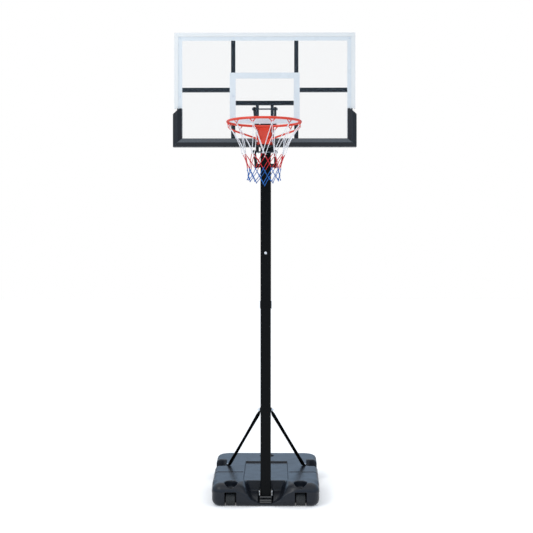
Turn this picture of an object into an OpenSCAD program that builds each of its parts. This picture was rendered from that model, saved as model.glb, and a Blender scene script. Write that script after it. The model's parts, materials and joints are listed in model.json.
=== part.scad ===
// Portable basketball hoop: ballast base, square pole, four-arm lift, clear board, rim and net.
// Millimetres, +Z up. The pole's axis is the Z axis, the floor is Z = 0,
// the board faces -Y and the base runs back along +Y.

/* [Base] */
// Width of the ballast tank at its front
front_w = 790; // [770:2:810]
// Width of the tank at its back
back_w = 820; // [800:2:830]
// How far the tank reaches in front of the pole
base_front = 120; // [115:1:125]
// How far the tank reaches behind the pole
base_back = 1070; // [1040:10:1100]
// Height of the tank
base_h = 165; // [160:1:180]
// Wall of the tank
tank_wall = 4; // [3:0.5:5]
// Level of the ballast inside the tank
fill_z = 144; // [60:1:144]
// Width of each wheel
wheel_w = 66; // [50:1:70]
// Radius of each wheel
wheel_r = 46; // [40:1:47]
// Distance of each wheel from the middle
wheel_x = 256; // [250:1:260]

/* [Pole] */
// Side of the square pole
pole_w = 76; // [74:1:78]
// Wall of the pole
pole_wall = 2; // [1.5:0.5:3]
// Height of the top of the pole
pole_top = 2800; // [2798:1:2804]
// Height of the first pole joint
joint_low = 980; // [900:10:1100]
// Height of the second pole joint
joint_high = 1925; // [1900:5:2000]
// Height of the struts' bolt on the pole
strut_z = 690; // [600:10:750]
// Diameter of each strut
strut_d = 24; // [20:1:26]

/* [Lift] */
// Length of the lift arms between pivots
arm_len = 600; // [590:1:610]
// Height of the upper pivot on the pole
upper_z = 2786; // [2784:1:2788]
// Distance between the upper and lower pivots
pivot_gap = 292; // [288:1:296]
// Rise of the arms at rest, in degrees
arm_rise = 3.583; // [3:0.001:4]
// Travel of the arms upwards from rest, in degrees
lift_up = 38.5; // [30:0.5:40]
// Travel of the arms downwards from rest, in degrees
lift_down = 40.4; // [30:0.2:42]
// Reach of the lower arms behind the pole
rear_reach = 90; // [88:1:100]
// Height of the lock bolt
lock_z = 1844; // [1800:2:1900]
// Height of the bottom of the adjuster grip
grip_z = 1430; // [1400:10:1500]

/* [Board] */
// Width of the board
board_w = 1220; // [1200:2:1240]
// Height of the top edge of the board
board_top = 3331; // [3300:1:3360]
// Height of the bottom edge of the board
board_bottom = 2561; // [2559:1:2563]
// Y of the front face of the clear sheet
sheet_y = -652; // [-652]
// Side of the square frame tubes
frame_w = 28; // [28]
// Width of the edge trim
trim_w = 27; // [24:1:30]

/* [Rim and net] */
// Height of the middle of the rim
rim_z = 2683; // [2681:1:2684]
// Distance from the board to the middle of the rim
rim_reach = 378; // [376:1:381]
// Inside radius of the rim
rim_r = 225; // [225]
// Radius of the rim's rod
rod_r = 8; // [7.5:0.5:8]
// Length of the net below the middle of the rim
net_len = 410; // [380:5:450]

/* [Hidden] */
$fn = 64;

e = 1;                     // how far a cut runs past a face
bolt_r = 5;                // M10 shanks
bore_r = 5.06;             // running fit round a shank
open_r = 5.3;              // the opened pivot's looser hole
nut_r = 9.2;               // hexagon's corner radius on M10
nut_h = 7;

front_side = front_w / 2;
base_side = back_w / 2;
round_front = 65;          // rounding of the tank's front top edge
round_side = 36;           // rounding of its other top edges
front_r = 70;              // plan radius of its front corners
back_r = 110;              // and of its back corners
pocket_top = 152;          // half width of the front pocket, at the top
pocket_low = 60;           // and at its floor
pocket_floor = 20;
pocket_back = 63;          // Y of the pocket's back wall at the top
well_w = 84;               // wheel wells
well_top = 104;
well_back = 4;
cup_r = 48.5;
cup_floor = 108;
cup_y = -60;
axle_y = -68;
axle_z = wheel_r + 1;
axle_half = well_w / 2 + 2.5;
recess_x = 165;            // the shallow panel behind the pole
recess_back = 700;
recess_depth = 12;
notch_x = 322;             // hand notches in the sides
notch_front = 530;
notch_back = 765;
notch_floor = 60;
groove_y = 302;
groove_w = 15;
groove_depth = 8;
filler_y = 930;
filler_r = 57.5;           // recess round the filler cap
filler_depth = 15;
neck_r = 25;

bracket_in = pole_w / 2 + 0.3;
bracket_t = 4;
bracket_floor = pocket_floor + 4;
foot_z = bracket_floor + bracket_t;
foot_bolt_at = [[-18, 88], [18, 58]];
swage_len = 90;            // tail of an upper pole length inside the one below
anchor_y = -76;
strut_foot = [303, 550];
strut_tab = 6;
strut_end_r = 14;
strut_flat = [28, 14];      // pressed flat from each bolt to here, at the top and the foot

lower_z = upper_z - pivot_gap;
arm_y = arm_len * cos(arm_rise);
arm_dz = arm_len * sin(arm_rise);
arm_r = 14;
arm_in = 62;
arm_out = 79;
arm_t = 2;
pivot_y = -arm_y;
board_upper_z = upper_z + arm_dz;
board_lower_z = lower_z + arm_dz;
rear_y = rear_reach * cos(arm_rise);
rear_z = lower_z - rear_reach * sin(arm_rise);

channel_half = 39;         // adjuster channel
channel_rear = rear_y + 10;
channel_front = rear_y - 10;
channel_t = 3;
drop_up = rear_reach * (sin(arm_rise + lift_up) - sin(arm_rise));
rise_down = rear_reach * (sin(lift_down - arm_rise) + sin(arm_rise));
slot_r = 6;
slot_low = lock_z - rise_down - 6;
slot_high = lock_z + drop_up + 6;
grip_h = 56;
grip_wall = 4;
sleeve_len = 18;
knob_r = 30;
knob_len = 26;

sheet_t = 4;
frame_front = sheet_y + sheet_t;
frame_back = frame_front + frame_w;
tube_t = 1.5;
seam = 0.3;                // gap between butted lengths
board_half = board_w / 2;
frame_inset = 18;           // from the board's edge to the frame's
frame_out = board_half - frame_inset;
frame_in = frame_out - frame_w;
frame_top = board_top - frame_inset;
frame_bottom = board_bottom + 24;
upright_x = 213;
centre_rail_z = 2859;
side_rail_z = 2947;
bar_x = 50.3;              // board channels
bar_w = 20.6;
bar_t = 2.5;
bar_back = pivot_y + 19;
bar_low = board_lower_z - 11.5;
guard_w = 60;              // edge guard
guard_h = 57;
guard_out = board_half + 8;
guard_top = 2820;
guard_front = sheet_y - 26;
guard_back = frame_back + 8;
guard_rise = 18;            // fall of the front face towards the board
guard_fall = 10;            // and towards the outside
guard_cut = [47, 40];       // chamfer on the top corner
cut_half = 61;
screw_places = [for (x = [-571, -upright_x, upright_x, 571], z = [2905, 3293]) [x, z]];
far = 300;                 // reach of a wedge that cuts a whole end off

rim_y = sheet_y - rim_reach;
ring_r = rim_r + rod_r;
hook_n = 12;
hook_turn = -17;
hook_half = 18;
hook_drop = 26;
hook_r = 3;
plate_half = 58;
plate_t = 5;
box_half = 40;
box_t = 4;
bracket_low = 2574;
bracket_nose = -800;       // the rim bracket's box reaches to here at its top
bracket_knee = -725;       // and to here at its bottom
rim_bolt_at = [for (x = [-49, 49], z = [2599, 2664]) [x, z]];
net_line = [[216, -32], [130, -200], [101, -290]];  // radius and height, down the net
net_wall = 4;
brace_r = 6;
brace_tilt = 16;
brace_side = 235;
brace_bend = 110;
brace_turn = 47;
brace_end = 24;

// ---------- shared shapes ----------

// Rounded rectangle about the origin
module rounded(w, d, r) {
    square([w - 2 * r, d], center = true);
    square([w, d - 2 * r], center = true);
    for (x = [-1, 1], y = [-1, 1]) {
        translate([x * (w / 2 - r), y * (d / 2 - r)]) circle(r);
    }
}

// Outline with two round ends, from p to q
module capsule(p, q, r) {
    d = q - p;
    translate(p) circle(r);
    translate(q) circle(r);
    translate(p) rotate(atan2(d[1], d[0])) translate([0, -r]) square([norm(d), 2 * r]);
}

// Extrude a Y-Z outline along X, from x0 to x1
module along_x(x0, x1) {
    translate([x0, 0, 0]) rotate([90, 0, 90]) linear_extrude(x1 - x0) children();
}

// Extrude an X-Z outline along Y, from y0 to y1
module along_y(y0, y1) {
    translate([0, y1, 0]) rotate([90, 0, 0]) linear_extrude(y1 - y0) children();
}

module box(low, high) {
    translate(low) cube(high - low);
}

// Round rod from p to q
module rod(p, q, r) {
    d = q - p;
    translate(p) rotate([0, acos(d[2] / norm(d)), atan2(d[1], d[0])]) cylinder(h = norm(d), r = r);
}

// Rod along X through a Y-Z point
module x_rod(x0, x1, at, r) {
    translate([x0, at[0], at[1]]) rotate([0, 90, 0]) cylinder(h = x1 - x0, r = r);
}

// Bolt along X with a hexagon head on the left and a nut on the right
module x_bolt(half, at) {
    x_rod(-half, half, at, bolt_r);
    for (x = [-half, half - nut_h]) {
        translate([x, at[0], at[1]]) rotate([0, 90, 0]) cylinder(h = nut_h, r = nut_r, $fn = 6);
    }
}

module x_tube(x0, x1, at, r_out, r_in) {
    difference() {
        x_rod(x0, x1, at, r_out);
        x_rod(x0 - e, x1 + e, at, r_in);
    }
}

module both_sides() {
    children();
    mirror([1, 0, 0]) children();
}

// ---------- base ----------

// One corner of the tank, inset by g all round
module tank_corner(x, y, r, top_r, g) {
    low = 14;
    translate([x, y, 0]) rotate_extrude($fn = 48) polygon(concat(
        [[0, g], [r - low, g], [r - g, low + g * 0.4]],
        [for (a = [0 : 15 : 90]) [
            max(0, r - top_r) + (min(r, top_r) - g) * cos(a),
            base_h - top_r + (top_r - g) * sin(a)]],
        [[0, base_h - g]]));
}

module tank_form(g) hull() for (x = [-1, 1]) {
    tank_corner(x * (base_side - back_r), base_back - back_r, back_r, round_side, g);
    tank_corner(x * (front_side - front_r), front_r - base_front, front_r, round_front, g);
}

module front_pocket(g) {
    low = g > 0 ? -e : pocket_floor;
    intersection() {
        along_y(-base_front - 40, pocket_back + 40) polygon([
            [-pocket_low - g, low], [pocket_low + g, low], [pocket_low + g, pocket_floor],
            [pocket_top + g, base_h - 4], [pocket_top + g, base_h + 40],
            [-pocket_top - g, base_h + 40], [-pocket_top - g, base_h - 4],
            [-pocket_low - g, pocket_floor]]);
        along_x(-base_side, base_side) polygon([
            [-base_front - 30, low], [46 + g, low], [46 + g, pocket_floor + 20],
            [pocket_back - 4 + g, base_h - 40], [pocket_back + g, base_h + 40],
            [-base_front - 30, base_h + 40]]);
    }
}

// Deep pockets, whose walls stand inside the tank
module deep_pockets(g) {
    front_pocket(g);
    both_sides() {
        box([wheel_x - well_w / 2 - g, -base_front - 40, -e],
            [wheel_x + well_w / 2 + g, well_back + g, well_top + g]);
        translate([wheel_x - 2, cup_y, cup_floor - g]) cylinder(h = base_h, r = cup_r + g);
        box([notch_x - g, notch_front - g, notch_floor - g],
            [base_side + 40, notch_back + g, base_h + 40]);
    }
}

module shallow_pockets(g) {
    box([-recess_x - g, pocket_back - 20, base_h - recess_depth - g],
        [recess_x + g, recess_back + g, base_h + 40]);
    translate([0, filler_y, base_h - filler_depth - g]) cylinder(h = 60, r = filler_r + g);
    both_sides() box([recess_x + 8 - g, groove_y - groove_w / 2 - g, base_h - groove_depth - g],
        [base_side + 40, groove_y + groove_w / 2 + g, base_h + 40]);
}

module base_tank() color([0.2, 0.23, 0.27]) difference() {
    tank_form(0);
    deep_pockets(0);
    shallow_pockets(0);
    difference() {
        tank_form(tank_wall);
        deep_pockets(tank_wall);
        shallow_pockets(tank_wall);
    }
    translate([0, filler_y, base_h / 2]) cylinder(h = base_h, r = neck_r);
    both_sides() x_rod(wheel_x - axle_half - 0.5, wheel_x + axle_half + 0.5, [axle_y, axle_z], bore_r);
    for (x = [-25, 25]) translate([x, anchor_y, tank_wall]) cylinder(h = base_h, r = 4.1);
    both_sides() translate([strut_foot[0], strut_foot[1], base_h / 2]) cylinder(h = base_h, r = 4.1);
}

module ballast() color([0.5, 0.65, 0.75]) difference() {
    gap = tank_wall + 0.4;
    intersection() {
        tank_form(gap);
        box([-base_side, -base_front, 0], [base_side, base_back, fill_z]);
    }
    deep_pockets(gap);
}

module filler_gasket() color("black") translate([0, filler_y, base_h - filler_depth]) difference() {
    cylinder(h = 2, r = 34);
    translate([0, 0, -e]) cylinder(h = 4, r = neck_r + 1);
}

module filler_cap() color([0.08, 0.08, 0.09]) translate([0, filler_y, base_h - filler_depth]) {
    difference() {
        union() {
            translate([0, 0, -4.6]) cylinder(h = 9, r = neck_r - 0.4);
            translate([0, 0, 2.4]) cylinder(h = 8, r = 36);
            translate([-26, -4, 10]) cube([52, 8, 5]);
        }
        for (a = [0 : 30 : 330]) rotate(a) translate([37, 0, 2]) cylinder(h = 10, r = 3, $fn = 24);
    }
}

module wheel_axles() color("silver") both_sides() {
    x_rod(wheel_x - axle_half, wheel_x + axle_half, [axle_y, axle_z], bolt_r);
}

module axle_clips() color("dimgray") both_sides() {
    for (s = [-1, 1]) {
        mid = wheel_x + s * (wheel_w / 2 + 4.5);
        x_tube(mid - 1.5, mid + 1.5, [axle_y, axle_z], 9, bolt_r);
    }
}

module hub() color([0.12, 0.12, 0.13]) translate([0, axle_y, axle_z]) rotate([0, 90, 0]) {
    inner = wheel_r - 8;
    rotate_extrude() {
        translate([bore_r, -wheel_w / 2]) square([7, wheel_w]);
        translate([bore_r + 5, -4]) square([inner - bore_r - 7, 8]);
        translate([inner - 4, -wheel_w / 2 + 3]) square([4, wheel_w - 6]);
    }
    for (a = [0 : 60 : 300], z = [-wheel_w / 2 + 6, 3]) {
        rotate(a) translate([bore_r + 5, -1.5, z]) cube([inner - bore_r - 7, 3, wheel_w / 2 - 9]);
    }
}

module tyre() color([0.2, 0.2, 0.21]) translate([0, axle_y, axle_z]) rotate([0, 90, 0]) {
    half = wheel_w / 2;
    inner = wheel_r - 8;
    rotate_extrude() difference() {
        polygon([[inner, -half], [wheel_r - 3, -half], [wheel_r, 3 - half],
            [wheel_r, half - 3], [wheel_r - 3, half], [inner, half]]);
        for (z = [-20 : 10 : 20]) translate([wheel_r - 2, z - 1.5]) square([3, 3]);
    }
}

// Steel U bracket round the pole's foot, with a strap, a toe bar and a lip in front
module foot_bracket() color([0.1, 0.1, 0.11]) {
    out = bracket_in + bracket_t;
    low = bracket_floor;
    difference() {
        union() {
            box([-out, -98, low], [out, 42, foot_z]);
            both_sides() along_x(bracket_in, out) polygon([[-90, low], [42, low], [42, 108],
                [-28, 108], [-58, 78], [-58, 47], [-90, 47]]);
            box([-out, -58, 48], [out, -54, 64]);
            box([-out, -58, 61], [out, -44, 64]);
            box([-out, -90, low], [out, -86, 47]);
            box([-out, -90, 44], [out, -76, 47]);
            box([-out, -98, low], [out, -95, low + 9]);
        }
        for (at = foot_bolt_at) x_rod(-out - e, out + e, at, bore_r);
        for (x = [-25, 25]) translate([x, anchor_y, 0]) cylinder(h = 60, r = 4.1);
    }
}

module foot_bolts() color("silver") for (at = foot_bolt_at) {
    x_bolt(bracket_in + bracket_t + nut_h, at);
}

module anchor_bolts() color("silver") for (x = [-25, 25]) translate([x, anchor_y, 6]) {
    cylinder(h = bracket_floor, r = 4);
    translate([0, 0, bracket_floor + bracket_t - 6]) cylinder(h = 6, r = 7.5, $fn = 6);
}

// ---------- pole and struts ----------

// A length of pole, with a swaged tail that slides into the length below
module pole_length(z0, z1, tail) difference() {
    union() {
        translate([0, 0, z0]) linear_extrude(z1 - z0) rounded(pole_w, pole_w, 10);
        if (tail > 0) translate([0, 0, z0 - tail]) linear_extrude(tail + 8) {
            rounded(pole_w - 2 * pole_wall - 0.4, pole_w - 2 * pole_wall - 0.4, 8);
        }
    }
    translate([0, 0, z0 + 8]) linear_extrude(z1 - z0) {
        rounded(pole_w - 2 * pole_wall, pole_w - 2 * pole_wall, 8);
    }
    translate([0, 0, z0 - tail - e]) linear_extrude(tail + 20) {
        rounded(pole_w - 4 * pole_wall, pole_w - 4 * pole_wall, 6);
    }
}

module pole_bottom() color([0.04, 0.04, 0.05]) difference() {
    pole_length(foot_z, joint_low, 0);
    for (at = foot_bolt_at) x_rod(-pole_w, pole_w, at, bore_r);
    x_rod(-pole_w, pole_w, [0, strut_z], bore_r);
}

// Hole for the lock bolt, through both walls of the pole
module lock_bore() translate([0, pole_w, lock_z]) rotate([90, 0, 0]) {
    cylinder(h = 2 * pole_w, r = bore_r);
}

module pole_middle() color([0.04, 0.04, 0.05]) difference() {
    pole_length(joint_low, joint_high, swage_len);
    lock_bore();
}

module pole_top_section() color([0.04, 0.04, 0.05]) difference() {
    pole_length(joint_high, pole_top, swage_len);
    for (z = [lower_z, upper_z]) x_rod(-pole_w, pole_w, [0, z], bore_r);
    lock_bore();
}

module pole_cap() color([0.03, 0.03, 0.03]) {
    translate([0, 0, pole_top]) linear_extrude(4) rounded(pole_w, pole_w, 10);
    translate([0, 0, pole_top - 6]) linear_extrude(7) {
        rounded(pole_w - 2 * pole_wall - 0.6, pole_w - 2 * pole_wall - 0.6, 7.5);
    }
}

// Tube brace with its two ends pressed flat: one against the pole, one on the tank
module strut() color([0.05, 0.05, 0.05]) {
    top = [pole_w / 2 + strut_tab / 2, 0, strut_z];
    foot = [strut_foot[0], strut_foot[1], base_h + strut_tab / 2];
    run = (foot - top) / norm(foot - top);
    difference() {
        union() {
            translate([pole_w / 2, 0, strut_z]) rotate([atan2(run[2], run[1]), 0, 0])
                along_x(0, strut_tab) strut_end();
            translate([strut_foot[0], strut_foot[1], base_h]) rotate([0, 0, atan2(run[1], run[0])])
                linear_extrude(strut_tab) mirror([1, 0]) strut_end();
            rod(top + strut_flat[0] * run, foot - strut_flat[1] * run, strut_d / 2, $fn = 12);
        }
        x_rod(0, pole_w, [0, strut_z], bore_r);
        translate([strut_foot[0], strut_foot[1], base_h / 2]) cylinder(h = base_h, r = 4.1);
    }
}

// Outline of a strut's flat end, round about its bolt hole
module strut_end() {
    circle(strut_end_r);
    translate([0, 0.1 - strut_end_r]) square([44, 2 * strut_end_r - 0.2]);
}

module strut_right() strut();

module strut_left() mirror([1, 0, 0]) strut();

module strut_pole_bolt() color("silver") x_bolt(pole_w / 2 + strut_tab + nut_h, [0, strut_z]);

module strut_base_bolts() color("silver") both_sides() {
    translate([strut_foot[0], strut_foot[1], base_h - 14]) {
        cylinder(h = 22, r = 4);
        translate([0, 0, 14 + strut_tab]) cylinder(h = 6, r = 8, $fn = 6);
    }
}

// ---------- lift ----------

module upper_pole_bolt() color("silver") x_bolt(arm_out + nut_h + 1, [0, upper_z]);

module lower_pole_bolt() color("silver") x_bolt(arm_out + nut_h + 1, [0, lower_z]);

module pole_spacers() color([0.1, 0.1, 0.1]) both_sides() for (z = [lower_z, upper_z]) {
    x_tube(pole_w / 2, arm_out - arm_t - 0.5, [0, z], 8.5, bore_r);
}

// Channel-section arm on the right, through Y-Z points p and q, open towards the pole
module arm(p, q, holes) color([0.06, 0.06, 0.07]) difference() {
    along_x(arm_in, arm_out) capsule(p, q, arm_r);
    along_x(arm_in - e, arm_out - arm_t) capsule(p, q, arm_r - arm_t);
    for (h = holes) x_rod(arm_out - 2 * arm_t, arm_out + e, [h[0], h[1]], h[2]);
}

module upper_arm_right() arm([0, upper_z], [pivot_y, board_upper_z],
    [[0, upper_z, bore_r], [pivot_y, board_upper_z, bore_r]]);

module upper_arm_left() mirror([1, 0, 0]) upper_arm_right();

module lower_arm_right() arm([rear_y, rear_z], [pivot_y, board_lower_z],
    [[rear_y, rear_z, bore_r], [0, lower_z, bore_r], [pivot_y, board_lower_z, open_r]]);

module lower_arm_left() mirror([1, 0, 0]) lower_arm_right();

module rear_bolt() color("silver") x_bolt(arm_out + nut_h, [rear_y, rear_z]);

module rear_spacers() color([0.1, 0.1, 0.1]) both_sides() {
    x_tube(channel_half + 0.5, arm_out - arm_t, [rear_y, rear_z], 8.5, bore_r);
}

module adjuster_channel() color([0.05, 0.05, 0.06]) difference() {
    low = grip_z + grip_wall;
    high = rear_z + 18;
    box([-channel_half, channel_front, low], [channel_half, channel_rear, high]);
    box([channel_t - channel_half, channel_front - e, low - e],
        [channel_half - channel_t, channel_rear - channel_t, high + e]);
    x_rod(-100, 100, [rear_y, rear_z], bore_r);
    along_y(channel_rear - 2 * channel_t, channel_rear + e) {
        capsule([0, slot_low], [0, slot_high], slot_r);
    }
}

module adjuster_grip() color([0.03, 0.03, 0.03]) difference() {
    half = channel_half + 0.2;
    translate([0, (channel_front + channel_rear) / 2, grip_z]) linear_extrude(grip_h) {
        rounded(2 * (half + grip_wall), channel_rear - channel_front + 2 * grip_wall + 6, 6);
    }
    difference() {
        box([-half, channel_front - 0.2, grip_z + grip_wall], [half, channel_rear + 0.2, grip_z + 80]);
        box([-half + channel_t + 0.4, channel_front - 9, grip_z],
            [half - channel_t - 0.4, channel_rear - channel_t - 0.2, grip_z + 80]);
    }
    along_y(channel_front - 30, channel_rear - channel_t - 5) {
        capsule([-22, grip_z + grip_h / 2], [22, grip_z + grip_h / 2], 14);
    }
}

module lock_bolt() color("silver") {
    front = -pole_w / 2;
    translate([0, channel_rear + knob_len + 6, lock_z]) rotate([90, 0, 0]) {
        cylinder(h = channel_rear + knob_len + 6 - front, r = bolt_r);
    }
    intersection() {
        translate([0, front + 8, lock_z]) sphere(r = 13);
        box([-20, front - 6, lock_z - 20], [20, front, lock_z + 20]);
    }
}

module lock_sleeve() color([0.1, 0.1, 0.1]) difference() {
    translate([0, pole_w / 2 + sleeve_len, lock_z]) rotate([90, 0, 0]) cylinder(h = sleeve_len, r = 10);
    lock_bore();
}

module lock_knob() color([0.03, 0.03, 0.03]) difference() {
    front = channel_rear + 0.6;
    union() {
        translate([0, front + 8, lock_z]) rotate([90, 0, 0]) cylinder(h = 8, r = 13);
        translate([0, front + knob_len, lock_z]) rotate([90, 0, 0]) {
            cylinder(h = knob_len - 7, r = knob_r - 5);
            for (a = [0 : 60 : 300]) rotate(a) translate([knob_r - 9, 0, 0]) {
                cylinder(h = knob_len - 7, r = 9, $fn = 32);
            }
        }
    }
    translate([0, front + knob_len + e, lock_z]) rotate([90, 0, 0]) cylinder(h = 60, r = bore_r);
}

// ---------- board ----------

// Holes for the rim's bolts, from y0 forwards
module rim_bolt_holes(y0, depth) for (at = rim_bolt_at) {
    translate([at[0], y0, at[1]]) rotate([90, 0, 0]) cylinder(h = depth, r = 4.1);
}

module board_channel_right() color([0.16, 0.2, 0.25]) difference() {
    low = bar_x - bar_w / 2;
    high = bar_x + bar_w / 2;
    mid = (frame_back + bar_back) / 2;
    end_r = (bar_back - frame_back) / 2;
    outline = [[frame_back, bar_low + end_r], [bar_back, bar_low + end_r],
        [bar_back, centre_rail_z + 14], [frame_back, centre_rail_z + 14]];
    union() {
        along_x(low, high) polygon(outline);
        along_x(low, high) translate([mid, bar_low + end_r]) circle(end_r);
    }
    box([low + bar_t, frame_back + bar_t, bar_low - e],
        [high - bar_t, bar_back + e, centre_rail_z + 14 + e]);
    for (z = [board_lower_z, board_upper_z]) x_rod(0, 100, [pivot_y, z], bore_r);
    rim_bolt_holes(frame_back + 5, 10);
    translate([bar_x, frame_back + 5, centre_rail_z]) rotate([90, 0, 0]) cylinder(h = 10, r = 3.1);
}

module board_channel_left() mirror([1, 0, 0]) board_channel_right();

module upper_board_bolt() color("silver") x_bolt(arm_out + nut_h + 1, [pivot_y, board_upper_z]);

module lower_board_bolt() color("silver") x_bolt(arm_out + nut_h + 1, [pivot_y, board_lower_z]);

module board_spacers() color([0.16, 0.2, 0.25]) both_sides() {
    for (z = [board_lower_z, board_upper_z]) {
        x_tube(bar_x + bar_w / 2, arm_out - arm_t - 0.5, [pivot_y, z], 8.5, bore_r);
    }
}

module channel_screws() color("silver") both_sides() translate([bar_x, 0, centre_rail_z]) {
    rotate([90, 0, 0]) translate([0, 0, -frame_back - bar_t - 4]) {
        cylinder(h = 4, r = 6, $fn = 6);
        cylinder(h = bar_t + 14, r = 3);
    }
}

// Square tube along the given direction, with its centre line from p to q
module square_tube(size) difference() {
    cube(size);
    long = size[0] > size[2] ? 0 : 2;
    inner = [for (i = [0 : 2]) i == long ? size[i] + 2 * e : size[i] - 2 * tube_t];
    translate([for (i = [0 : 2]) i == long ? -e : tube_t]) cube(inner);
}

module frame_perimeter() color([0.16, 0.2, 0.25]) {
    difference() {
        for (z = [frame_bottom, frame_top - frame_w]) translate([-frame_out, frame_front, z]) {
            square_tube([2 * frame_out, frame_w, frame_w]);
        }
        rim_bolt_holes(frame_back + e, frame_w + 2 * e);
    }
    for (x = [-frame_out, frame_in]) translate([x, frame_front, frame_bottom + frame_w + seam]) {
        square_tube([frame_w, frame_w, frame_top - frame_bottom - 2 * frame_w - 2 * seam]);
    }
}

module frame_uprights() color([0.16, 0.2, 0.25]) for (x = [-upright_x, upright_x]) {
    translate([x - frame_w / 2, frame_front, frame_bottom + frame_w]) {
        square_tube([frame_w, frame_w, frame_top - frame_bottom - 2 * frame_w]);
    }
}

module frame_rails() color([0.16, 0.2, 0.25]) {
    clear = upright_x - frame_w / 2;
    difference() {
        translate([-clear, frame_front, centre_rail_z - frame_w / 2]) {
            square_tube([2 * clear, frame_w, frame_w]);
        }
        for (x = [-bar_x, bar_x]) translate([x, frame_back + e, centre_rail_z]) {
            rotate([90, 0, 0]) cylinder(h = 14, r = 3.1);
        }
    }
    reach = frame_in - upright_x - frame_w / 2;
    for (x = [-frame_in, frame_in - reach]) {
        translate([x, frame_front, side_rail_z - frame_w / 2]) square_tube([reach, frame_w, frame_w]);
    }
}

module rim_spacer_box() color([0.16, 0.2, 0.25]) difference() {
    low = frame_bottom + frame_w;
    box([-60, frame_front, low], [60, frame_back, bracket_low + 116]);
    box([-57, frame_front + 3, low - e], [57, frame_back - 3, bracket_low + 120]);
    rim_bolt_holes(frame_back + e, frame_w + 2 * e);
}

module backboard_sheet() color([0.85, 0.9, 0.93, 0.35]) difference() {
    half = board_half - 4;
    box([-half, sheet_y, frame_bottom - 6], [half, frame_front, board_top - 4]);
    rim_bolt_holes(frame_front + e, sheet_t + 2 * e);
    for (at = screw_places) translate([at[0], frame_front + e, at[1]]) {
        rotate([90, 0, 0]) cylinder(h = sheet_t + 2 * e, r = 2.6);
    }
}

// L-section trim: a lip over the sheet and a wall round its edge
module edge_trim() color([0.8, 0.82, 0.85]) {
    lip = 3;
    wall = 3.6;
    low = guard_top + 0.5;
    difference() {
        box([-board_half, sheet_y - lip, board_top - trim_w], [board_half, frame_back, board_top]);
        box([wall - board_half, sheet_y, board_top - trim_w - e],
            [board_half - wall, frame_back + e, board_top - wall]);
    }
    both_sides() difference() {
        box([board_half - trim_w, sheet_y - lip, low],
            [board_half, frame_back, board_top - trim_w - seam]);
        box([board_half - trim_w - e, sheet_y, low - e],
            [board_half - wall, frame_back + e, board_top - trim_w + e]);
    }
}

module sheet_screws() color("silver") for (at = screw_places) {
    translate([at[0], sheet_y, at[1]]) rotate([90, 0, 0]) {
        cylinder(h = 2, r = 5);
        translate([0, 0, -sheet_t]) cylinder(h = sheet_t + 1, r = 2.5);
    }
}

// Section of a guard: u runs outwards from the board's middle, v forwards from its back.
// The inner half slopes up from the sheet, the outer half falls away a little.
module guard_section(width) difference() {
    depth = guard_back - guard_front;
    polygon([[0, 0], [width, 0], [width, depth - guard_fall], [width - 3, depth - guard_fall + 2],
        [width / 2, depth], [0, depth - guard_rise]]);
    translate([-e, guard_back - frame_back - 0.2]) {
        square([width - (guard_out - board_half) - 2 + e, frame_back - sheet_y + 0.4]);
    }
}

// Wedge beyond the mitre between two guards, s = 1 below it and -1 above it
module mitre_wedge(s) along_y(guard_front - e, guard_back + e) {
    inner = [guard_out - guard_w, board_bottom + guard_h];
    outer = [guard_out, board_bottom];
    run = outer - inner;
    polygon([inner - run + [0, s * 0.1], outer + run + [0, s * 0.1],
        outer + run - [0, s * far], inner - run - [0, s * far]]);
}

module edge_guard_bottom() color([0.12, 0.12, 0.13]) difference() {
    along_x(-guard_out, guard_out) {
        translate([guard_back, board_bottom + guard_h]) mirror([1, 1]) guard_section(guard_h);
    }
    both_sides() mitre_wedge(-1);
    box([-cut_half, guard_front - e, bracket_low - 2], [cut_half, sheet_y, rim_z]);
    both_sides() box([bar_x - bar_w / 2 - 2, sheet_y, board_bottom - e],
        [bar_x + bar_w / 2 + 2, guard_back + e, rim_z]);
}

module edge_guard_right() color([0.12, 0.12, 0.13]) difference() {
    translate([guard_out - guard_w, guard_back, board_bottom]) mirror([0, 1, 0]) {
        linear_extrude(guard_top - board_bottom) guard_section(guard_w);
    }
    mitre_wedge(1);
    along_y(guard_front - e, guard_back + e) polygon([[guard_out + e, guard_top - guard_cut[1]],
        [guard_out + e, guard_top + e], [guard_out - guard_cut[0], guard_top + e]]);
}

module edge_guard_left() mirror([1, 0, 0]) edge_guard_right();

// ---------- rim and net ----------

module rim_ring() color([0.75, 0.16, 0.1]) translate([0, rim_y, rim_z]) {
    rotate_extrude($fn = 96) translate([ring_r, 0]) circle(rod_r);
}

module net_hooks() color([0.7, 0.2, 0.15]) translate([0, rim_y, rim_z]) {
    for (i = [0 : hook_n - 1]) rotate(hook_turn + i * 360 / hook_n) translate([0, -ring_r, 0]) {
        tip = [0, 0, -hook_drop];
        for (s = [-1, 1]) rod([s * hook_half, 0, -rod_r + 2], tip, hook_r, $fn = 24);
        translate(tip) sphere(r = hook_r + 0.8, $fn = 24);
    }
}

// Bent rod, in a plane that slopes down from the rim's sides to the bracket
module rim_brace() color([0.75, 0.16, 0.1]) translate([0, rim_y, rim_z - rod_r]) {
    straight = 46;
    rotate([-brace_tilt, 0, 0]) both_sides() {
        rod([brace_side - brace_r, 0, 0], [brace_side - brace_r, straight, 0], brace_r);
        translate([brace_side - brace_r - brace_bend, straight, 0]) {
            rotate_extrude(angle = brace_turn) translate([brace_bend, 0]) circle(brace_r - 0.1);
        }
        bend_x = brace_side - brace_r - brace_bend * (1 - cos(brace_turn));
        bend_y = straight + brace_bend * sin(brace_turn);
        leg = (bend_x - brace_end) / sin(brace_turn);
        rod([bend_x, bend_y, 0], [brace_end, bend_y + leg * cos(brace_turn), 0], brace_r);
    }
}

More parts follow.
